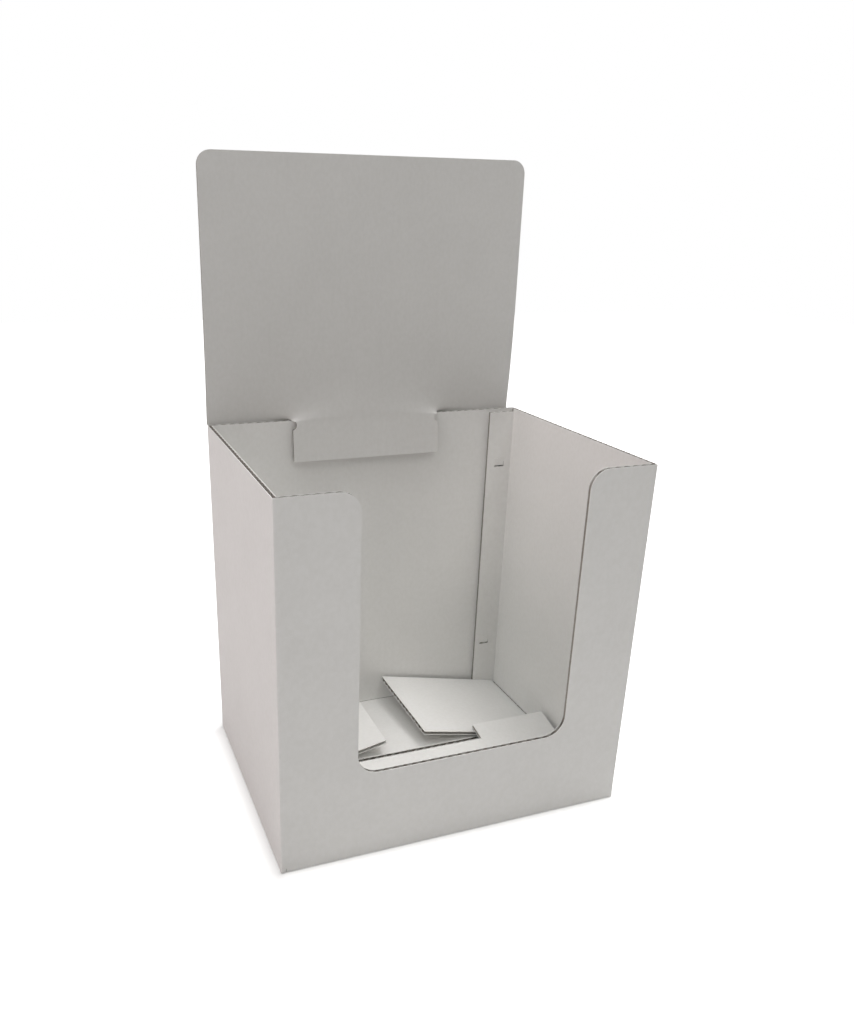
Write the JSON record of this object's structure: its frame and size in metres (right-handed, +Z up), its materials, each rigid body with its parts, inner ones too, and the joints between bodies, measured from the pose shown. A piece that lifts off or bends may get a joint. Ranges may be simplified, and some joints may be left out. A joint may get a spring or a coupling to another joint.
{
  "type": "retail dump bin",
  "caption": "Countertop dump bin folded from plain white corrugated board, with a U-shaped front cut-out, interlocking bottom flaps and a tall header card slotted on its back wall.",
  "frame": {"origin": "on the surface that the bin stands on, under the middle of the whole object's box", "axes": "+Z up, +Y from the cut-out front towards the back wall that carries the header card, +X to the right seen from the front"},
  "size_m": [0.24, 0.1834, 0.415],
  "materials": {
    "wall_board": "matt bleached white liner on corrugated board",
    "bottom_board": "matt bleached white liner on corrugated board",
    "header_board": "matt bleached white liner on corrugated board"
  },
  "bodies": {
    "bin": {"front_panel": "wall_board", "left_panel": "wall_board", "right_panel": "wall_board", "back_panel": "wall_board", "joint_flange": "wall_board", "front_left_crease": "wall_board", "front_right_crease": "wall_board", "back_left_crease": "wall_board", "flange_crease": "wall_board", "front_bottom_crease": "wall_board", "back_bottom_crease": "wall_board", "left_bottom_crease": "wall_board", "right_bottom_crease": "wall_board"},
    "header": {"header_card": "header_board"},
    "upper_tab": {"upper_lock_tab": "wall_board"},
    "lower_tab": {"lower_lock_tab": "wall_board"},
    "front_flap": {"front_bottom_flap": "bottom_board"},
    "back_flap": {"back_bottom_flap": "bottom_board"},
    "right_ear": {"front_flap_right_ear": "bottom_board"},
    "right_flap": {"right_bottom_flap": "bottom_board"},
    "left_ear": {"front_flap_left_ear": "bottom_board"},
    "left_flap": {"left_bottom_flap": "bottom_board"}
  },
  "joints": [
    {"name": "header_lift", "type": "slide", "parent": "bin", "child": "header", "axis": [0, 0, 1], "range_m": [0, 0.04]},
    {"name": "upper_tab_push", "type": "hinge", "parent": "bin", "child": "upper_tab", "pos_m": [0.1073, 0.08205, 0.2025], "axis": [1, 0, 0], "range_deg": [-8, 32]},
    {"name": "lower_tab_push", "type": "hinge", "parent": "bin", "child": "lower_tab", "pos_m": [0.105, 0.08205, 0.0471], "axis": [1, 0, 0], "range_deg": [-8, 32]},
    {"name": "front_flap_drop", "type": "hinge", "parent": "bin", "child": "front_flap", "pos_m": [0, -0.08835, 0], "axis": [-1, 0, 0], "range_deg": [0, 90]},
    {"name": "back_flap_drop", "type": "hinge", "parent": "bin", "child": "back_flap", "pos_m": [0, 0.08505, 0], "axis": [1, 0, 0], "range_deg": [0, 70]},
    {"name": "right_ear_lift", "type": "hinge", "parent": "bin", "child": "right_ear", "pos_m": [0.087, -0.08835, 0.003], "axis": [1, 0, 0], "range_deg": [0, 70]},
    {"name": "right_flap_lift", "type": "hinge", "parent": "bin", "child": "right_flap", "pos_m": [0.1167, 0.0375, 0.003], "axis": [0, 1, 0], "range_deg": [0, 70]},
    {"name": "left_ear_lift", "type": "hinge", "parent": "bin", "child": "left_ear", "pos_m": [-0.087, -0.08835, 0.003], "axis": [1, 0, 0], "range_deg": [0, 70]},
    {"name": "left_flap_lift", "type": "hinge", "parent": "bin", "child": "left_flap", "pos_m": [-0.1167, 0.0375, 0.003], "axis": [0, -1, 0], "range_deg": [0, 70]}
  ],
  "couplings": [
    {"joint": "back_flap_drop", "follows": "front_flap_drop", "ratio": 0.75},
    {"joint": "right_flap_lift", "follows": "right_ear_lift", "ratio": 1},
    {"joint": "left_flap_lift", "follows": "left_ear_lift", "ratio": 1}
  ]
}
